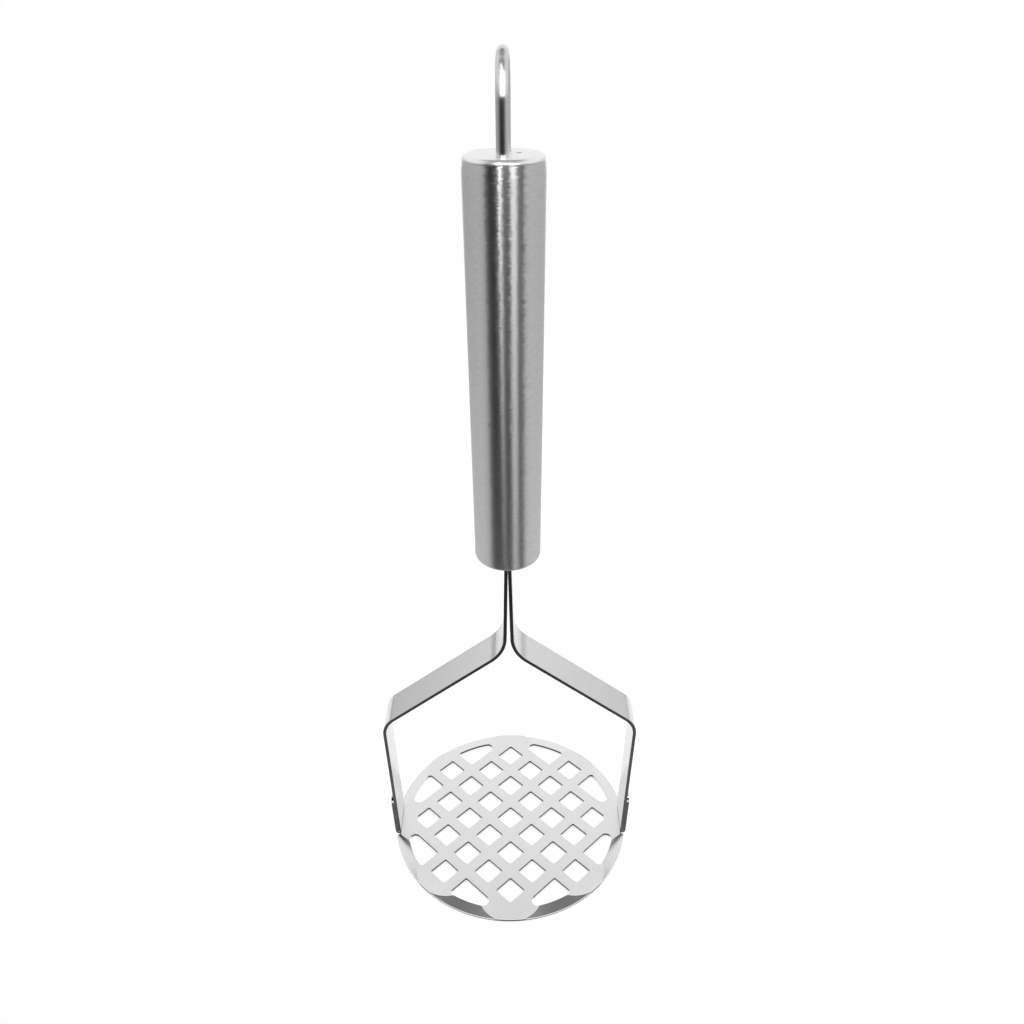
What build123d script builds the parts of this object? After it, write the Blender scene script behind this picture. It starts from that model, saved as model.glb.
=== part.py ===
from build123d import *
import math
import os

# Potato masher in millimetres. A hollow handle stands on two bent strips that carry a
# round pierced plate. Z runs up the handle and X runs from arm to arm. The origin is the
# centre of the plate's underside, the face that the masher stands on.

# Pierced plate
plate_diameter = 85.0
plate_thickness = 0.9
hole_side = 7.1
bar_width = 3.9
hole_corner_break = 0.35
rim_band = 4.0
inner_corner_radius = 0.5
wide_corner_radius = 2.1
narrow_corner_radius = 1.2
rim_edge_break = 0.2

# Outside the large openings the rim's top is pressed to a shallow cone. A round flat pad
# is left at each web, set deeper at the four webs between the axes
rim_fall = 0.35
pad_radius = 11.0
axis_pad_inset = 10.0
corner_pad_inset = 10.8

# Tabs that the plate's edge is folded up into, one behind each arm's foot
tab_height = 17.0
tab_corner_radius = 2.0
fold_radius = 0.4
relief_width = 1.0
weld_mark_diameter = 3.0
weld_mark_depth = 0.15
weld_mark_lift = 8.0
weld_mark_spacing = 6.0

# Bent strips: each leg rises from the foot to the elbow, slopes in to the neck, and
# runs up the neck into the handle as a tang
strip_width = 12.5
strip_thickness = 1.0
strip_edge_break = 0.15
foot_inset = 0.8
foot_clearance = 0.5
leg_height = 54.0
elbow_spread = 1.7
shoulder_rise = 32.3
neck_length = 34.3
neck_spread = 0.73
mouth_drop = 2.0
tang_length = 30.0
elbow_bend_radius = 8.2
neck_bend_radius = 12.0
mouth_bend_radius = 150.0

# Hollow handle: a straight base cup with a tapered tube butted onto it
handle_length = 116.5
base_diameter = 20.0
top_diameter = 20.9
handle_wall = 0.8
base_edge_radius = 1.5
base_cup_height = 7.5
slot_clearance = 0.05
lip_break = 0.25

# End cap, its edge rounded over its whole thickness
cap_thickness = 1.0
cap_inset = 0.15
skirt_depth = 5.0
skirt_wall = 0.7
skirt_clearance = 0.03
vent_diameter = 1.0
vent_side = 3.7
vent_back = 1.4

# Hanging loop
wire_diameter = 3.0
loop_spacing = 10.4
loop_height = 23.8
bow_height = 9.8
crown_radius = 3.6
leg_overhang = 2.5
leg_clearance = 0.04

# Weld metal inside the handle
tang_bead = 1.8
loop_bead = 0.6
loop_bead_height = 1.5

# One overrun for every cut that has to break through, and the number of flats that a
# turned rounding is made of
overrun = 1.0
rounding_flats = 2

# The grid of holes stands on its corner, so it is drawn square and turned by half a
# right angle
grid_turn = 45

# No fillet takes more than this share of an opening's area over its girth
corner_room_share = 1.2

plate_radius = plate_diameter / 2
plate_top = plate_thickness
hole_pitch = hole_side + bar_width
half_hole = hole_side / 2
opening_radius = plate_radius - rim_band
foot_reach = plate_radius - foot_inset - strip_thickness / 2
elbow_reach = foot_reach + elbow_spread
elbow_height = plate_top + leg_height
neck_reach = strip_thickness / 2 + neck_spread
neck_height = elbow_height + shoulder_rise
handle_bottom = neck_height + neck_length
handle_top = handle_bottom + handle_length
seam_height = handle_bottom + base_cup_height
tube_top = handle_top - cap_thickness
base_radius = base_diameter / 2
bore_clearance = handle_wall + skirt_clearance

# The legs lean out a little towards the elbow, and the tabs lean with them
leg_lean = math.atan2(elbow_spread, leg_height)
leg_up = Vector(math.sin(leg_lean), 0, math.cos(leg_lean))
leg_out = Vector(math.cos(leg_lean), 0, -math.sin(leg_lean))
foot_point = Vector(foot_reach, 0, plate_top)

# The folded tab's middle line lies half a strip and half a sheet outside the leg's
tab_offset = (strip_thickness + plate_thickness) / 2
tab_foot = foot_point + leg_out * tab_offset
fold_corner = tab_foot + leg_up * ((plate_thickness / 2 - tab_foot.Z) / leg_up.Z)
fold_middle_radius = fold_radius + plate_thickness / 2
fold_run = fold_middle_radius * math.tan((math.pi / 2 - leg_lean) / 2)
fold_start = fold_corner.X - fold_run


def tube_radius(height):
    """Outside radius of the tapered tube at a height."""
    share = (height - seam_height) / (handle_top - seam_height)
    return base_radius + (top_diameter / 2 - base_radius) * share


def flat(point):
    """A point of the XZ plane as the coordinates of a sketch on that plane."""
    return (point.X, point.Z)


def rounding(middle_x, middle_z, radius, start, end):
    """Points along a turned rounding, from one angle to another in degrees."""
    angles = [start + (end - start) * step / rounding_flats for step in range(rounding_flats + 1)]
    return [
        (middle_x + radius * math.cos(math.radians(angle)), middle_z + radius * math.sin(math.radians(angle)))
        for angle in angles
    ]


def turned(points):
    """A piece turned about the handle's axis from a closed outline."""
    with BuildPart() as piece:
        with BuildSketch(Plane.XZ):
            with BuildLine():
                Polyline(*points, close=True)
            make_face()
        revolve(axis=Axis.Z)
    return piece.part


def square_hole():
    """One hole of the grid, its corners broken."""
    with BuildSketch() as hole:
        Rectangle(hole_side, hole_side)
        chamfer(hole.vertices(), hole_corner_break)
    return hole.sketch


def rim_opening(row, first, last):
    """The cells first to last of a row as one opening that ends at the rim band."""
    near = row * hole_pitch - half_hole
    low = first * hole_pitch - half_hole
    high = last * hole_pitch + half_hole
    with BuildSketch() as opening:
        with Locations((near, low)):
            Rectangle(plate_radius, high - low, align=Align.MIN)
        Circle(opening_radius, mode=Mode.INTERSECT)
        girth = sum(edge.length for edge in opening.edges())
        room = corner_room_share * opening.sketch.area / girth
        for corner in [Vector(*vertex) for vertex in opening.vertices()]:
            radius = inner_corner_radius
            if math.isclose(corner.length, opening_radius):
                radius = wide_corner_radius if math.isclose(corner.X, near) else narrow_corner_radius
            fillet(opening.vertices().sort_by_distance(corner)[0], min(radius, room))
    return opening.sketch


def hole_grid():
    """All openings of the plate. A cell that fits inside the rim band is a square hole.
    Where the band cuts into a row at least half a hole deep, what is left beside the
    squares is an opening that follows the rim."""
    reach = math.ceil(opening_radius / hole_pitch)
    squares = []
    for row in range(-reach, reach + 1):
        for cell in range(-reach, reach + 1):
            far = math.hypot(abs(row) * hole_pitch + half_hole, abs(cell) * hole_pitch + half_hole)
            if far <= opening_radius:
                squares.append((row * hole_pitch, cell * hole_pitch))
    openings = []
    for row in range(1, reach + 1):
        cut = []
        for cell in range(row + 1):
            side = max(cell * hole_pitch - half_hole, 0)
            near = math.hypot(row * hole_pitch - half_hole, side)
            far = math.hypot(row * hole_pitch + half_hole, cell * hole_pitch + half_hole)
            if near + half_hole <= opening_radius < far:
                cut.append(cell)
        if 0 in cut:
            openings.append(rim_opening(row, 0, 0))
        if row in cut:
            openings.append(rim_opening(row, row, row))
        beside = [cell for cell in cut if 0 < cell < row]
        if beside:
            openings.append(rim_opening(row, beside[0], row - 1))
    with BuildSketch() as grid:
        with Locations(*squares):
            add(square_hole())
        with PolarLocations(0, 4):
            for opening in openings:
                add(opening)
                add(mirror(opening, about=Plane.XZ))
    return grid.sketch


def rim_facets():
    """What the press takes off the rim's top: a ring wedge, broken by the pads. Its last
    slope breaks the edge of the rim."""
    edge = plate_radius - rim_edge_break
    beyond = plate_radius + overrun
    foot = plate_top - rim_fall
    wedge = [(opening_radius, plate_top), (edge, foot), (beyond, foot - (beyond - edge)), (beyond, plate_top)]
    with BuildPart() as facets:
        add(turned(wedge))
        with BuildSketch(Plane.XY.offset(foot - 2 * overrun)):
            with PolarLocations(plate_radius - axis_pad_inset, 4):
                Circle(pad_radius)
            with PolarLocations(plate_radius - corner_pad_inset, 4, start_angle=grid_turn):
                Circle(pad_radius)
        extrude(amount=rim_fall + 3 * overrun, mode=Mode.SUBTRACT)
    return facets.part


def folded_tab():
    """The +X tab: a root in the plane of the plate, the fold, and the upright."""
    root = Vector(fold_start - strip_width / 2, 0, plate_thickness / 2)
    top = tab_foot + leg_up * tab_height
    with BuildPart() as tab:
        with BuildSketch(Plane.XZ):
            with BuildLine():
                bend = FilletPolyline(
                    flat(root), flat(fold_corner), flat(top), radius=fold_middle_radius
                )
            trace(bend, line_width=plate_thickness)
        extrude(amount=strip_width / 2, both=True)
        top_face = tab.faces().sort_by(Axis.Z)[-1]
        fillet(top_face.edges().group_by(SortBy.LENGTH)[0], tab_corner_radius)
        # Two spot-weld dimples in the outer face
        dimples = tab_foot + leg_out * (plate_thickness / 2) + leg_up * weld_mark_lift
        with BuildSketch(Plane(origin=dimples, x_dir=(0, 1, 0), z_dir=leg_out)):
            with GridLocations(weld_mark_spacing, 0, 2, 1):
                Circle(weld_mark_diameter / 2)
        extrude(amount=-weld_mark_depth, mode=Mode.SUBTRACT)
    return tab.part


def masher_plate():
    """The pierced disc with a tab folded up at each side."""
    tab = folded_tab()
    cut_reach = plate_radius - fold_start + overrun
    cut_width = strip_width + 2 * relief_width
    with BuildPart() as plate:
        Cylinder(plate_radius, plate_thickness, align=(Align.CENTER, Align.CENTER, Align.MIN))
        chamfer(plate.edges().group_by(Axis.Z)[-1], rim_edge_break)
        add(rim_facets(), mode=Mode.SUBTRACT)
        with BuildSketch(Plane.XY.offset(-overrun).rotated((0, 0, grid_turn))):
            add(hole_grid())
        extrude(amount=plate_thickness + 2 * overrun, mode=Mode.SUBTRACT)
        # The rim is cut back to the fold, with a relief slot at each end of it
        with BuildSketch(Plane.XY.offset(-overrun)):
            with GridLocations(2 * fold_start + cut_reach, 0, 2, 1):
                Rectangle(cut_reach, cut_width)
            with GridLocations(2 * fold_start, strip_width + relief_width, 2, 2):
                Circle(relief_width / 2)
        extrude(amount=plate_thickness + 2 * overrun, mode=Mode.SUBTRACT)
        add(tab)
        add(mirror(tab, about=Plane.YZ))
    return plate.part


def bent_strip():
    """The arm on the +X side: a flat strip with its long edges broken."""
    foot = foot_point + leg_up * foot_clearance
    elbow = Vector(elbow_reach, 0, elbow_height)
    neck = Vector(neck_reach, 0, neck_height)
    mouth = Vector(strip_thickness / 2, 0, handle_bottom - mouth_drop)
    tang_top = Vector(strip_thickness / 2, 0, handle_bottom + tang_length)
    bends = [elbow_bend_radius, neck_bend_radius, mouth_bend_radius]
    with BuildPart() as strip:
        with BuildSketch(Plane.XZ):
            with BuildLine():
                middle = FilletPolyline(
                    flat(foot), flat(elbow), flat(neck), flat(mouth), flat(tang_top), radius=bends
                )
            trace(middle, line_width=strip_thickness)
        extrude(amount=strip_width / 2, both=True)
        front = strip.faces().sort_by(Axis.Y)[0]
        back = strip.faces().sort_by(Axis.Y)[-1]
        chamfer(front.edges() + back.edges(), strip_edge_break)
    return strip.part


def handle_base():
    """The pressed cup that closes the handle's lower end, with the slot for both tangs."""
    bore = base_radius - handle_wall
    floor = handle_bottom + handle_wall
    edge_x = base_radius - base_edge_radius
    edge_z = handle_bottom + base_edge_radius
    outline = [
        (0, handle_bottom),
        *rounding(edge_x, edge_z, base_edge_radius, -90, 0),
        (base_radius, seam_height),
        (bore, seam_height),
        (bore, edge_z),
        (edge_x, floor),
        (0, floor),
    ]
    with BuildPart() as base:
        add(turned(outline))
        with BuildSketch(Plane.XY.offset(handle_bottom - overrun)):
            Rectangle(2 * (strip_thickness + slot_clearance), strip_width + 2 * slot_clearance)
        extrude(amount=handle_wall + 2 * overrun, mode=Mode.SUBTRACT)
    return base.part


def handle_tube():
    """The tube between the base cup and the end cap. Its side is a smooth curve that
    keeps to a straight taper, and its upper lip is broken."""
    lip_height = tube_top - lip_break
    middle_height = (seam_height + lip_height) / 2
    outside = [(tube_radius(height), height) for height in (seam_height, middle_height, lip_height)]
    inside = [(tube_radius(height) - handle_wall, height) for height in (tube_top, middle_height, seam_height)]
    with BuildPart() as tube:
        with BuildSketch(Plane.XZ):
            with BuildLine():
                Bezier(*outside)
                Polyline(outside[-1], (tube_radius(tube_top) - lip_break, tube_top), inside[0])
                Bezier(*inside)
                Line(inside[-1], outside[0])
            make_face()
        revolve(axis=Axis.Z)
    return tube.part


def end_cap():
    """The disc on top of the tube, with a skirt inside it, a vent and two loop holes."""
    cap_radius = tube_radius(tube_top) - cap_inset
    skirt_radius = tube_radius(tube_top - skirt_depth) - bore_clearance
    shoulder = rounding(cap_radius - cap_thickness, tube_top, cap_thickness, 90, 0)
    outline = [
        (0, handle_top),
        *shoulder,
        (skirt_radius, tube_top),
        (skirt_radius, tube_top - skirt_depth),
        (skirt_radius - skirt_wall, tube_top - skirt_depth),
        (skirt_radius - skirt_wall, tube_top),
        (0, tube_top),
    ]
    with BuildPart() as cap:
        add(turned(outline))
        with BuildSketch(Plane.XY.offset(tube_top - overrun)):
            with GridLocations(0, loop_spacing, 1, 2):
                Circle(wire_diameter / 2 + leg_clearance)
            with Locations((vent_side, vent_back)):
                Circle(vent_diameter / 2)
        extrude(amount=cap_thickness + 2 * overrun, mode=Mode.SUBTRACT)
    return cap.part


def hanging_loop():
    """The U of round wire, its legs through the cap and its bow on top."""
    half = loop_spacing / 2
    leg_end = tube_top - leg_overhang
    bow_start = handle_top + loop_height - wire_diameter / 2 - bow_height
    # Two wide side arcs and the crown's small one meet on one tangent
    crown_rise = bow_height - crown_radius
    side_radius = (half**2 + bow_height**2 - 2 * bow_height * crown_radius) / (2 * (half - crown_radius))
    side_shift = side_radius - half
    side_turn = math.degrees(math.atan2(crown_rise, side_shift))
    with BuildPart() as loop:
        with BuildLine(Plane.YZ) as wire:
            Line((-half, leg_end), (-half, bow_start))
            CenterArc((side_shift, bow_start), side_radius, 180 - side_turn, side_turn)
            CenterArc((0, bow_start + crown_rise), crown_radius, side_turn, 180 - 2 * side_turn)
            CenterArc((-side_shift, bow_start), side_radius, 0, side_turn)
            Line((half, bow_start), (half, leg_end))
        with BuildSketch(Plane.XY.offset(leg_end)):
            with Locations((0, -half)):
                Circle(wire_diameter / 2)
        sweep(path=wire.line)
    return loop.part


def tang_weld():
    """The bead round both tangs on the floor of the base cup."""
    tang_depth = 2 * strip_thickness
    floor = handle_bottom + handle_wall
    with BuildPart() as bead:
        with BuildSketch(Plane.XY.offset(floor)):
            Rectangle(tang_depth + 2 * tang_bead, strip_width + 2 * tang_bead)
        with BuildSketch(Plane.XY.offset(floor + tang_bead)):
            Rectangle(tang_depth + tang_bead / 2, strip_width + tang_bead / 2)
        loft()
        with BuildSketch(Plane.XY.offset(floor - overrun)):
            Rectangle(tang_depth, strip_width)
        extrude(amount=tang_bead + 2 * overrun, mode=Mode.SUBTRACT)
    return bead.part


def loop_welds():
    """A bead round each leg of the loop in the corner under the cap."""
    leg_radius = wire_diameter / 2
    root = tube_top - loop_bead_height
    bead = turned([(leg_radius, tube_top), (leg_radius + loop_bead, tube_top), (leg_radius, root)])
    return Compound([Location((0, side * loop_spacing / 2, 0)) * bead for side in (1, -1)])


right_arm = bent_strip()
parts = {
    "masher_plate": masher_plate(),
    "right_arm": right_arm,
    "left_arm": mirror(right_arm, about=Plane.YZ),
    "handle_base": handle_base(),
    "handle_tube": handle_tube(),
    "end_cap": end_cap(),
    "hanging_loop": hanging_loop(),
    "tang_weld": tang_weld(),
    "loop_welds": loop_welds(),
}

os.makedirs("parts", exist_ok=True)
for name, solid in parts.items():
    export_step(solid, f"parts/{name}.step")
    print(name, "solids", len(solid.solids()), "volume", round(solid.volume, 1))
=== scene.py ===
import math
import bmesh
import bpy
import numpy as np
from mathutils import Matrix, Vector


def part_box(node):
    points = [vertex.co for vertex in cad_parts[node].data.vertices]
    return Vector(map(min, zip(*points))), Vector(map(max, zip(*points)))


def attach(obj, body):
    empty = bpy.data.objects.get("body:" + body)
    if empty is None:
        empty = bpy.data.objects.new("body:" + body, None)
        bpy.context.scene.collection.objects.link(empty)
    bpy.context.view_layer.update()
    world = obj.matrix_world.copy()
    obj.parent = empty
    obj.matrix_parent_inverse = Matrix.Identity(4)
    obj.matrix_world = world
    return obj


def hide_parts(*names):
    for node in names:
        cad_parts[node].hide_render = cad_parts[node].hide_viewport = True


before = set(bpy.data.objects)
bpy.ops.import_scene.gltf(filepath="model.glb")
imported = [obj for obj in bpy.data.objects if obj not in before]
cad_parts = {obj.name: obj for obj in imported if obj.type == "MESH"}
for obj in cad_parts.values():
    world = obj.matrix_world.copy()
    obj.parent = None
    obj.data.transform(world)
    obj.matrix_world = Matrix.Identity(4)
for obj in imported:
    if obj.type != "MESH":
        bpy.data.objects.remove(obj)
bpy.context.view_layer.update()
mm = 0.001

# The photograph's camera, a pinhole, in degrees and millimetres
camera = {
    "sensor": 36,
    "lens": 32.2525,
    "nearest": 10,
    "place": (2.48, -232.78, 281.70),
    "pitchDown": 31.919,
    "yaw": 0.272,
    "roll": 0.423,
}


def aimCamera(user):
    pitch, yaw, roll = (math.radians(user[k]) for k in ("pitchDown", "yaw", "roll"))
    ahead = Vector((0, math.cos(pitch), -math.sin(pitch)))
    right = Vector((1, 0, 0))
    down = ahead.cross(right)
    across = right * math.cos(roll) + down * math.sin(roll)
    below = -right * math.sin(roll) + down * math.cos(roll)
    axes = Matrix((across, -below, -ahead)).transposed()
    lens = bpy.data.cameras.new("photoCamera")
    lens.sensor_width = user["sensor"]
    lens.lens = user["lens"]
    lens.clip_start = user["nearest"] * mm
    eye = bpy.data.objects.new("photoCamera", lens)
    turned = Matrix.Rotation(yaw, 3, "Z") @ axes
    eye.matrix_world = Matrix.Translation(Vector(user["place"]) * mm) @ turned.to_4x4()
    bpy.context.scene.collection.objects.link(eye)
    bpy.context.scene.camera = eye


aimCamera(camera)
bpy.context.scene.view_settings.view_transform = "Standard"
print("camera set")


# Node helper: add(kind, socket=value) makes a node, and a value that is another node's
# output is linked. A name like _2 is the socket's number, and small words are settings.
settings = ("operation", "data_type", "interpolation_type", "direction_type", "uv_map")


def nodeKit(tree):
    tree.nodes.clear()

    def add(kind, **sockets):
        node = tree.nodes.new(kind)
        for name in settings:
            if name in sockets:
                setattr(node, name, sockets.pop(name))
        for name, value in sockets.items():
            key = int(name[1:]) if name[0] == "_" else name.replace("_", " ")
            if isinstance(value, bpy.types.NodeSocket):
                tree.links.new(value, node.inputs[key])
            else:
                node.inputs[key].default_value = value
        return node

    return add


# The room round the masher, as panels with soft edges, each laid over those before it.
# In degrees: around goes from the camera's side towards +X, up is above the horizon, and
# each side of a panel fades in or out over twice the angle "soft".
room = {
    "back": {"tone": 0.95},
    "walls": {"tone": 0.90, "around": (-152, 152), "soft": 10},
    "highBack": {"tone": 0.92, "up": (32, 180), "soft": 6},
    "lowLeft": {"tone": 0.50, "around": (-152, 0), "up": (-180, 6), "soft": 8},
    "lowRight": {"tone": 0.62, "around": (0, 152), "up": (-180, 6), "soft": 8},
    "darkSide": {"tone": 0.0, "around": (-55, 57), "soft": 7},
    "ceiling": {"tone": 0.16, "up": (58.5, 180), "soft": 2},
    "ceilingFront": {"tone": 0.4, "around": (-50, 50), "up": (48, 180), "soft": 5},
    "overhead": {"tone": 0.55, "up": (80, 180), "soft": 4},
}


def buildRoom(user):
    world = bpy.data.worlds.new("room")
    bpy.context.scene.world = world
    world.use_nodes = True
    add = nodeKit(world.node_tree)
    way = add("ShaderNodeTexCoord").outputs["Generated"]
    parts = add("ShaderNodeSeparateXYZ", Vector=way).outputs
    front = add("ShaderNodeMath", operation="MULTIPLY", _0=parts["Y"], _1=-1.0).outputs[0]
    angles = {
        "around": add("ShaderNodeMath", operation="ARCTAN2", _0=parts["X"], _1=front).outputs[0],
        "up": add("ShaderNodeMath", operation="ARCSINE", _0=parts["Z"]).outputs[0],
    }
    shade = 0.0
    for panel in user.values():
        mask = 1.0
        for name in [key for key in angles if key in panel]:
            for side, soft in zip(panel[name], (panel["soft"], -panel["soft"])):
                edge = add("ShaderNodeMapRange", interpolation_type="SMOOTHSTEP", Value=angles[name],
                           From_Min=math.radians(side - soft), From_Max=math.radians(side + soft))
                mask = add("ShaderNodeMath", operation="MULTIPLY", _0=mask,
                           _1=edge.outputs[0]).outputs[0]
        shade = add("ShaderNodeMix", data_type="FLOAT", _0=mask, _2=shade, _3=panel["tone"]).outputs[0]
    seen = add("ShaderNodeBackground", Color=(1, 1, 1, 1), Strength=shade).outputs[0]
    blank = add("ShaderNodeBackground", Color=(1, 1, 1, 1), Strength=1.0).outputs[0]
    ray = add("ShaderNodeLightPath").outputs["Is Camera Ray"]
    mixed = add("ShaderNodeMixShader", Fac=ray, _1=seen, _2=blank).outputs[0]
    add("ShaderNodeOutputWorld", Surface=mixed)


buildRoom(room)

# Two upright soft boxes close to the camera, and the dim cards beside and between them, in
# degrees and millimetres. tone is how bright a lamp looks: its energy is tone times pi
# times its area.
lamps = {
    "leftLamp": {"around": -11.0, "away": 154, "width": 16.9, "up": (256, 410), "tone": 11.5},
    "rightLamp": {"around": 26.4, "away": 457, "width": 142, "up": (256, 551), "tone": 5.5},
    "leftCard": {"around": -20.7, "away": 154, "width": 35, "up": (256, 410), "tone": 0.27},
    "middleCard": {"around": 4.9, "away": 154, "width": 69, "up": (256, 410), "tone": 0.66},
    "rightCard": {"around": 41.3, "away": 457, "width": 96, "up": (256, 551), "tone": 0.70},
}


def hangLamp(name, user):
    angle = math.radians(user["around"])
    out = Vector((math.sin(angle), -math.cos(angle), 0))
    up = Vector((0, 0, 1))
    low, high = user["up"]
    lamp = bpy.data.lights.new(name, "AREA")
    lamp.shape = "RECTANGLE"
    lamp.size = user["width"] * mm
    lamp.size_y = (high - low) * mm
    lamp.energy = user["tone"] * math.pi * lamp.size * lamp.size_y
    box = bpy.data.objects.new(name, lamp)
    box.matrix_world = Matrix.Translation((out * user["away"] + up * (low + high) / 2) * mm) @ (
        Matrix((up.cross(out), up, out)).transposed().to_4x4()
    )
    box.visible_camera = False
    bpy.context.scene.collection.objects.link(box)


for name, user in lamps.items():
    hangLamp(name, user)

# White sheet that the masher stands on. It glows by itself a little for the camera and
# for reflections, the latter less and less towards the back, and takes the shadow.
floorSheet = {"front": -0.075, "back": 0.60, "side": 0.40, "paint": 0.85, "glowSeen": 0.55,
              "glowNear": (0.10, 0.42), "glowFar": (0.55, 0.12)}


def layFloor(user):
    x, low, high = user["side"], user["front"], user["back"]
    sheet = bpy.data.meshes.new("floorSheet")
    sheet.from_pydata([(-x, low, 0), (x, low, 0), (x, high, 0), (-x, high, 0)], [], [(0, 1, 2, 3)])
    floor = bpy.data.objects.new("floorSheet", sheet)
    bpy.context.scene.collection.objects.link(floor)
    paint = bpy.data.materials.new("floorWhite")
    paint.use_nodes = True
    add = nodeKit(paint.node_tree)
    matt = add("ShaderNodeBsdfDiffuse", Color=(user["paint"],) * 3 + (1,)).outputs[0]
    rays = add("ShaderNodeLightPath").outputs
    seen = add("ShaderNodeMath", operation="MULTIPLY", _0=rays["Is Camera Ray"], _1=user["glowSeen"])
    mirror = add("ShaderNodeMath", operation="MAXIMUM", _0=rays["Is Glossy Ray"],
                 _1=rays["Is Transmission Ray"])
    place = add("ShaderNodeTexCoord").outputs["Object"]
    depth = add("ShaderNodeSeparateXYZ", Vector=place).outputs["Y"]
    near, far = user["glowNear"], user["glowFar"]
    fade = add("ShaderNodeMapRange", Value=depth, From_Min=near[0], From_Max=far[0],
               To_Min=near[1], To_Max=far[1]).outputs[0]
    glow = add("ShaderNodeMath", operation="MULTIPLY_ADD", _0=mirror.outputs[0], _1=fade,
               _2=seen.outputs[0])
    light = add("ShaderNodeEmission", Color=(1, 1, 1, 1), Strength=glow.outputs[0]).outputs[0]
    both = add("ShaderNodeAddShader", _0=matt, _1=light).outputs[0]
    add("ShaderNodeOutputMaterial", Surface=both)
    sheet.materials.append(paint)


layFloor(floorSheet)
print("studio lit")


# Steel finishes. grain is a noise with so many waves in a metre along X, Y and Z: it
# shifts the tone and the roughness by the shares given, and stands up by depth in mm.
# The cut tone is put on punched and sheared edges: partly their own dull grey and partly
# painted shade, the shadow in the holes and the dark room that these walls reflect. It
# goes on faces whose normal has the part given by cutFrom to cutTo along the axis
# cutAlong, or for a face that looks along X, as a folded tab does, its X part less
# cutSpare; those faces are rough too. A steel with "turned" spreads light along the map's
# across direction turned by that share of a circle, "sway" pushes the normal to and fro
# along that direction with the grain, and "steeper" shades nearly level faces, the rim's
# pressed facets, as tilted so much more.
steels = {
    "brushedSteel": {"grey": 0.62, "roughness": 0.37, "turned": 0.25, "grain": (600, 600, 2600),
                     "shade": 0.11, "dull": 0.15, "depth": 0.006, "sway": 0.06},
    "cupSteel": {"grey": 0.93, "roughness": 0.35, "grain": (900, 900, 900), "shade": 0.02, "dull": 0.02,
                 "depth": 0.0005},
    "wireSteel": {"grey": 0.78, "roughness": 0.28, "turned": 0.0, "grain": (500, 500, 120),
                  "shade": 0.03, "dull": 0.03, "depth": 0.001},
    # The strips' cut tone darkens their front and back edges: partly dull grey, partly painted shade
    "stripSteel": {"grey": 0.8, "roughness": 0.13, "grain": (300, 900, 300), "shade": 0.02,
                   "dull": 0.03, "depth": 0.0003, "cut": 0.12, "cutAlong": "Y", "cutFrom": 0.6,
                   "cutTo": 0.8},
    # The plate's cut tone darkens the hole walls: partly dull grey, partly painted shade
    "sheetSteel": {"grey": 0.85, "roughness": 0.2, "grain": (1500, 1500, 1500), "shade": 0.03,
                   "dull": 0.03, "depth": 0.001, "cut": 0.12, "cutAlong": "Z", "cutFrom": 0.4,
                   "cutTo": 0.2, "cutSpare": 0.5, "steeper": 2.4},
    "weldSteel": {"grey": 0.5, "roughness": 0.45, "grain": (1800, 1800, 1800), "shade": 0.25,
                  "dull": 0.1, "depth": 0.05},
}

# What all the finishes share: the noise and the range of it that counts, and how rough a
# cut edge is
anySteel = {"detail": 3.0, "fineness": 0.6, "range": (0.25, 0.75), "cutRoughness": 0.5}


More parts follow.
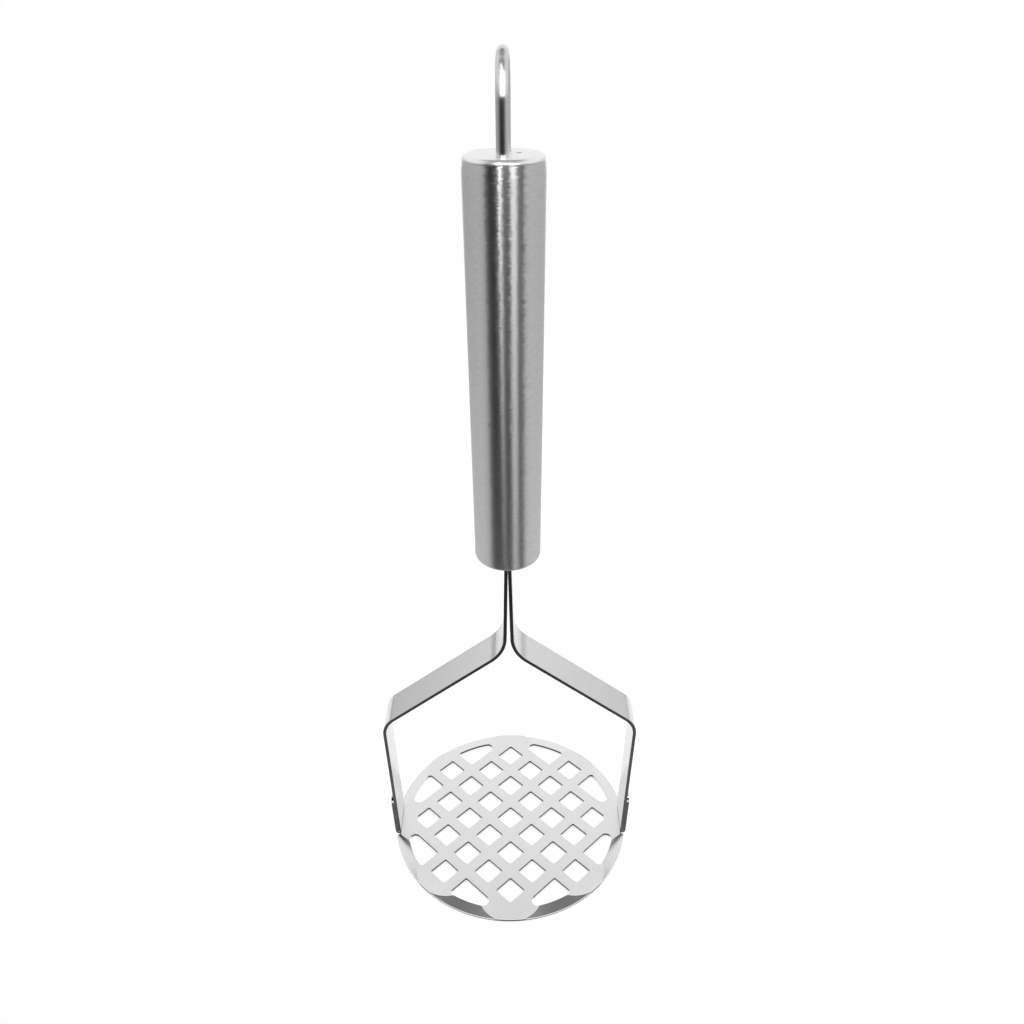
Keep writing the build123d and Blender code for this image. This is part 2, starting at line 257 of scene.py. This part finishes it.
def makeSteel(name, user):
    steel = bpy.data.materials.new(name)
    steel.use_nodes = True
    add = nodeKit(steel.node_tree)
    place = add("ShaderNodeTexCoord").outputs["Object"]
    fine = add("ShaderNodeMapping", Vector=place, Scale=user["grain"]).outputs[0]
    grain = add("ShaderNodeTexNoise", Vector=fine, Scale=1.0, Detail=anySteel["detail"],
                Roughness=anySteel["fineness"]).outputs["Fac"]

    def fromGrain(least, most):
        low, high = anySteel["range"]
        return add("ShaderNodeMapRange", Value=grain, From_Min=low, From_Max=high,
                   To_Min=least, To_Max=most).outputs[0]

    tone = fromGrain(user["grey"] * (1 - user["shade"]), user["grey"] * (1 + user["shade"]))
    rough = fromGrain(user["roughness"] * (1 - user["dull"]), user["roughness"] * (1 + user["dull"]))
    if "cut" in user:
        facing = add("ShaderNodeNewGeometry").outputs["True Normal"]
        parts = add("ShaderNodeSeparateXYZ", Vector=facing).outputs
        size = add("ShaderNodeMath", operation="ABSOLUTE", _0=parts[user["cutAlong"]]).outputs[0]
        if "cutSpare" in user:
            sideways = add("ShaderNodeMath", operation="ABSOLUTE", _0=parts["X"]).outputs[0]
            spared = add("ShaderNodeMath", operation="SUBTRACT", _0=sideways,
                         _1=user["cutSpare"]).outputs[0]
            size = add("ShaderNodeMath", operation="MAXIMUM", _0=size, _1=spared).outputs[0]
        onCut = add("ShaderNodeMapRange", Value=size, From_Min=user["cutFrom"],
                    From_Max=user["cutTo"]).outputs[0]
        # Cut faces take the cut tone, partly their own dull grey and partly painted shade
        tone = add("ShaderNodeMix", data_type="FLOAT", _0=onCut, _2=tone, _3=user["cut"]).outputs[0]
        rough = add("ShaderNodeMix", data_type="FLOAT", _0=onCut, _2=rough,
                    _3=anySteel["cutRoughness"]).outputs[0]
    bump = add("ShaderNodeBump", Height=grain, Distance=user["depth"] * mm, Strength=1.0)
    tilted = None
    if "steeper" in user:
        level = add("ShaderNodeNewGeometry").outputs["True Normal"]
        pressed = (user["steeper"], user["steeper"], 1)
        tilted = add("ShaderNodeVectorMath", operation="MULTIPLY", _0=level, _1=pressed).outputs[0]
    if "sway" in user:
        smooth = add("ShaderNodeNewGeometry").outputs["Normal"]
        around = add("ShaderNodeTangent", direction_type="UV_MAP", uv_map="along").outputs[0]
        push = fromGrain(-user["sway"], user["sway"])
        aside = add("ShaderNodeVectorMath", operation="SCALE", _0=around, Scale=push).outputs[0]
        tilted = add("ShaderNodeVectorMath", operation="ADD", _0=smooth, _1=aside).outputs[0]
    if tilted is not None:
        even = add("ShaderNodeVectorMath", operation="NORMALIZE", _0=tilted).outputs[0]
        steel.node_tree.links.new(even, bump.inputs["Normal"])
    shader = add("ShaderNodeBsdfPrincipled", Metallic=1.0, Base_Color=tone, Roughness=rough,
                 Normal=bump.outputs[0])
    if "turned" in user:
        shader.inputs["Anisotropic"].default_value = 1.0
        shader.inputs["Anisotropic Rotation"].default_value = user["turned"]
        along = add("ShaderNodeTangent", direction_type="UV_MAP", uv_map="along").outputs[0]
        steel.node_tree.links.new(along, shader.inputs["Tangent"])
    add("ShaderNodeOutputMaterial", Surface=shader.outputs[0])
    return steel


finish = {name: makeSteel(name, user) for name, user in steels.items()}
print("finishes made")


# A polyline with its corners rounded: a corner with a radius becomes an arc tangent to
# both of its runs, and each run keeps a guard point near both ends, so it shades flat.
def roundedRun(corners, radii, steps, guard):
    corners = [np.array(c, float) for c in corners]
    run = [corners[0]]
    for before, corner, after, radius in zip(corners, corners[1:], corners[2:], radii):
        back = (before - corner) / np.linalg.norm(before - corner)
        on = (after - corner) / np.linalg.norm(after - corner)
        half = math.acos(np.clip(back @ on, -1, 1)) / 2
        reach = radius / math.tan(half)
        middle = corner + (back + on) / np.linalg.norm(back + on) * radius / math.sin(half)
        first = corner + back * reach - middle
        last = corner + on * reach - middle
        sweep = math.pi - 2 * half
        t = np.linspace(0, 1, steps)[:, None]
        arc = (np.sin((1 - t) * sweep) * first + np.sin(t * sweep) * last) / math.sin(sweep) + middle
        run += [corner + back * (reach + guard), *arc, corner + on * (reach + guard)]
    run.append(corners[-1])
    return np.array(run)


# Quads of a grid of points, row after row, joined round along the columns and, if
# closed, from the last row to the first
def gridFaces(rows, columns, closed=False):
    r, c = np.meshgrid(np.arange(rows if closed else rows - 1), np.arange(columns), indexing="ij")
    nextR, nextC = (r + 1) % rows, (c + 1) % columns
    here, there = r * columns, nextR * columns
    quads = np.stack([here + c, here + nextC, there + nextC, there + c], -1)
    return quads.reshape(-1, 4)


# A mesh piece that shades smooth but for its sharp edges, its poles merged to one point.
# Points merge within so many metres, and an edge is sharp from so many degrees.
meshing = {"merge": 1e-7, "sharp": 40}


def addPiece(name, points, faces, material, uvs=None):
    mesh = bpy.data.meshes.new(name)
    mesh.from_pydata(points.reshape(-1, 3), [], faces)
    if uvs is not None:
        layer = mesh.uv_layers.new(name="along")
        layer.data.foreach_set("uv", uvs.astype(np.float32).ravel())
    bm = bmesh.new()
    bm.from_mesh(mesh)
    bmesh.ops.remove_doubles(bm, verts=bm.verts, dist=meshing["merge"])
    bm.to_mesh(mesh)
    bm.free()
    mesh.polygons.foreach_set("use_smooth", np.ones(len(mesh.polygons), bool))
    mesh.set_sharp_from_angle(angle=math.radians(meshing["sharp"]))
    mesh.materials.append(material)
    piece = bpy.data.objects.new(name, mesh)
    bpy.context.scene.collection.objects.link(piece)
    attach(piece, "root")
    return piece


# The map "along" of a grid whose columns go round: girth across, length up, both in mm
def alongMap(faces, columns, girth, length):
    row, column = np.divmod(faces, columns)
    column = np.where((column == 0) & (np.arange(4) % 3 != 0), columns, column)
    return np.stack([column / columns * girth, length[row]], -1).reshape(-1, 2) / mm


# How far the solids reach along Z, in millimetres
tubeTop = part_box("handle_tube")[1].z / mm
cupLow, cupHigh = (corner.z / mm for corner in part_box("handle_base"))
capLow, capHigh = (corner.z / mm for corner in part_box("end_cap"))
loopLow, loopHigh = (corner.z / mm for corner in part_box("hanging_loop"))

# The tube's rim and the cap lean back a little: height less y times the lean's tangent,
# growing from nothing at "leanFrom" to the full lean at the rim
seam = {"lean": 2.1, "leanFrom": 229.0}


def leanBack(points):
    y, z = points[..., 1], points[..., 2]
    share = np.clip((z / mm - seam["leanFrom"]) / (tubeTop - seam["leanFrom"]), 0, 1)
    points[..., 2] = z - y * math.tan(math.radians(seam["lean"])) * share
    return points


# Each (radius, height) of a profile carried round the Z axis: x = r cos a, y = r sin a,
# z = h
def turnedPiece(name, profile, around, material):
    angle = np.linspace(0, 2 * math.pi, around, endpoint=False)
    radius, height = profile[:, 0, None], profile[:, 1, None]
    x, y = radius * np.cos(angle), radius * np.sin(angle)
    points = leanBack(np.stack([x, y, height + 0 * angle], -1))
    faces = gridFaces(len(profile), around)
    length = np.r_[0, np.cumsum(np.linalg.norm(np.diff(profile, axis=0), axis=1))]
    uvs = alongMap(faces, around, 2 * math.pi * profile[:, 0].max(), length)
    return addPiece(name, points, faces.tolist(), material, uvs)


# A ring of points set square to a path at each of its points: path + u side + v across,
# where side is the path's direction turned about across
def sweptPiece(name, path, across, rings, material):
    ahead = np.gradient(path, axis=0)
    ahead /= np.linalg.norm(ahead, axis=1)[:, None]
    side = np.cross(ahead, across)
    points = path[:, None] + side[:, None] * rings[..., 0, None] + across * rings[..., 1, None]
    rows, columns = points.shape[:2]
    faces = gridFaces(rows, columns)
    length = np.r_[0, np.cumsum(np.linalg.norm(np.diff(path, axis=0), axis=1))]
    girth = 2 * math.pi * np.abs(rings).max()
    uvs = np.r_[alongMap(faces, columns, girth, length), np.zeros((2 * columns, 2))]
    ends = [list(range(columns))[::-1], [(rows - 1) * columns + k for k in range(columns)]]
    return addPiece(name, points, faces.tolist() + ends, material, uvs)


# Handle: one turned skin over the tube and the cup, whose joint is ground flush. The
# tube draws in a little over its last few millimetres.
handle = {"cupRadius": 10.0, "topRadius": 10.44, "wall": 0.8, "edge": 1.5, "lip": 0.4, "drawIn": 0.3,
          "drawFrom": 2.7, "jointBend": 60, "drawBend": 12, "bendRings": 12, "guard": 0.15,
          "around": 256}


def makeHandle(user):
    wall = user["wall"]
    rolled = user["topRadius"] - user["drawIn"]
    bore = user["cupRadius"] - wall
    corners = [(0, cupLow), (user["cupRadius"], cupLow), (user["cupRadius"], cupHigh),
               (user["topRadius"], tubeTop - user["drawFrom"]), (rolled, tubeTop),
               (rolled - wall, tubeTop), (bore, cupHigh), (bore, cupLow + wall), (0, cupLow + wall)]
    joint, lip = user["jointBend"], user["lip"]
    bends = [user["edge"], joint, user["drawBend"], lip, lip, joint, user["edge"] - wall]
    profile = roundedRun(corners, bends, user["bendRings"], user["guard"]) * mm
    skin = turnedPiece("handleSkin", profile, user["around"], finish["brushedSteel"])
    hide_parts("handle_tube", "handle_base")


makeHandle(handle)

# End cap: rings that start at the small vent hole, spread over the top to the round
# shoulder, go down the skirt, back under the cap and up through the vent
cap = {"radius": 10.2, "shoulder": 1.25, "crown": 0.3, "skirt": 9.2, "wall": 0.7, "vent": (3.7, 1.1),
       "ventRadius": 0.72, "flatMargin": 0.15, "hemDrop": 0.2, "hemBend": 0.1, "play": 0.02,
       "guard": 0.01, "flatRings": 8, "edgeRings": 14, "backRings": 6, "around": 192}


def makeCap(user):
    top = capHigh + user["crown"]
    under = top - user["shoulder"]
    inner = user["skirt"] - user["wall"]
    flatEnd = user["radius"] - user["shoulder"] - user["flatMargin"]
    flat = [(t, top) for t in np.linspace(user["ventRadius"], flatEnd, user["flatRings"])]
    brim = [flat[-1], (user["radius"], top), (user["radius"], under),
            (user["skirt"], under - user["hemDrop"])]
    bends = [user["shoulder"] - user["play"], user["hemBend"]]
    edge = roundedRun(brim, bends, user["edgeRings"], user["guard"])
    skirt = [(user["skirt"], capLow), (inner, capLow), (inner, under)]
    back = [(t, under) for t in np.linspace(inner, user["ventRadius"], user["backRings"])][1:]
    rings = np.array(flat[:-1] + list(map(tuple, edge)) + skirt + back)
    shift = np.clip((inner - rings[:, 0]) / (inner - user["ventRadius"]), 0, 1)
    angle = np.linspace(0, 2 * math.pi, user["around"], endpoint=False)
    x = shift[:, None] * user["vent"][0] + rings[:, :1] * np.cos(angle)
    y = shift[:, None] * user["vent"][1] + rings[:, :1] * np.sin(angle)
    points = leanBack(np.stack([x, y, rings[:, 1:] + 0 * angle], -1) * mm)
    faces = gridFaces(len(rings), user["around"], closed=True)[:, ::-1].tolist()
    piece = addPiece("endCap", points, faces, finish["cupSteel"])
    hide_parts("end_cap")


makeCap(cap)

# Arms: a flat section with small round edges, carried along the bent middle line
strip = {"width": 12.5, "thickness": 1.12, "edge": 0.05, "foot": (41.2157, 1.3998),
         "elbow": (42.9, 54.9), "elbowBend": 8.2, "neck": (1.23, 87.2), "neckBend": 12.0,
         "mouthDrop": 2.0, "mouthBend": 150.0, "tang": 30.0, "edgeRings": 5, "edgeGuard": 0.04,
         "bendRings": 24, "bendGuard": 0.3}


def makeArm(user, name, side, node):
    half, wide = user["thickness"] / 2, user["width"] / 2
    box = [(-half, 0), (-half, -wide), (half, -wide), (half, wide), (-half, wide), (-half, 0)]
    section = roundedRun(box, [user["edge"]] * 4, user["edgeRings"], user["edgeGuard"])[:-1] * mm
    corners = [user["foot"], user["elbow"], user["neck"], (half, cupLow - user["mouthDrop"]),
               (half, cupLow + user["tang"])]
    bends = [user["elbowBend"], user["neckBend"], user["mouthBend"]]
    line = roundedRun(corners, bends, user["bendRings"], user["bendGuard"])
    path = np.stack([side * line[:, 0], 0 * line[:, 0], line[:, 1]], -1) * mm
    arm = sweptPiece(name, path, np.array((0.0, 1.0, 0.0)), section[None], finish["stripSteel"])
    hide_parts(node)


makeArm(strip, "rightStrip", 1, "right_arm")
makeArm(strip, "leftStrip", -1, "left_arm")

# Hanging loop: two straight legs, two wide side arcs and a small crown arc, tangent to
# each other, with a smooth weld foot where each leg stands on the cap. It is turned a
# little about the handle's axis. A leg's rings stand closer between the middle two of
# the heights over the cap that "footAt" gives.
wire = {"radius": 1.5, "half": 5.2, "bowHeight": 9.8, "crown": 3.6, "turned": -2.8, "foot": 0.22,
        "footHeight": 0.15, "footAt": (-0.9, -0.6, 1.2, 2.2), "legRings": (4, 37, 6), "bowRings": 16,
        "around": 32}


def makeLoop(user):
    half, tall, crown = user["half"], user["bowHeight"], user["crown"]
    bowAt = loopHigh - user["radius"] - tall
    side = (half**2 + tall**2 - 2 * tall * crown) / (2 * (half - crown))
    lean = math.atan2(tall - crown, side - half)
    base = capHigh + cap["crown"]
    inside, footLow, footHigh, outside = (base + height for height in user["footAt"])
    few, many, some = user["legRings"]
    leg = np.r_[np.linspace(loopLow, inside, few), np.linspace(footLow, footHigh, many),
                np.linspace(outside, bowAt, some)[:-1]]
    sideTurn = np.linspace(math.pi, math.pi - lean, user["bowRings"])
    crownTurn = np.linspace(math.pi - lean, math.pi / 2, user["bowRings"])[1:]
    y = np.r_[0 * leg - half, side - half + side * np.cos(sideTurn), crown * np.cos(crownTurn)]
    z = np.r_[leg, bowAt + side * np.sin(sideTurn), bowAt + tall - crown + crown * np.sin(crownTurn)]
    y, z = np.r_[y, -y[-2::-1]], np.r_[z, z[-2::-1]]
    turn = math.radians(user["turned"])
    path = np.stack([-y * math.sin(turn), y * math.cos(turn), z], -1) * mm
    across = np.array((math.cos(turn), math.sin(turn), 0))
    swell = user["radius"] + user["foot"] * np.exp(-np.abs(z - base) / user["footHeight"])
    around = np.linspace(0, 2 * math.pi, user["around"], endpoint=False)
    rings = swell[:, None, None] * np.stack([np.cos(around), np.sin(around)], -1) * mm
    bow = sweptPiece("wireLoop", path, across, rings, finish["wireSteel"])
    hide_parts("hanging_loop")


makeLoop(wire)
print("pieces made")


# The plate and the welds keep their own solids
def dress(node, material):
    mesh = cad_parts[node].data
    mesh.materials.clear()
    mesh.materials.append(material)


dress("masher_plate", finish["sheetSteel"])
dress("tang_weld", finish["weldSteel"])
dress("loop_welds", finish["weldSteel"])
print("solids finished")
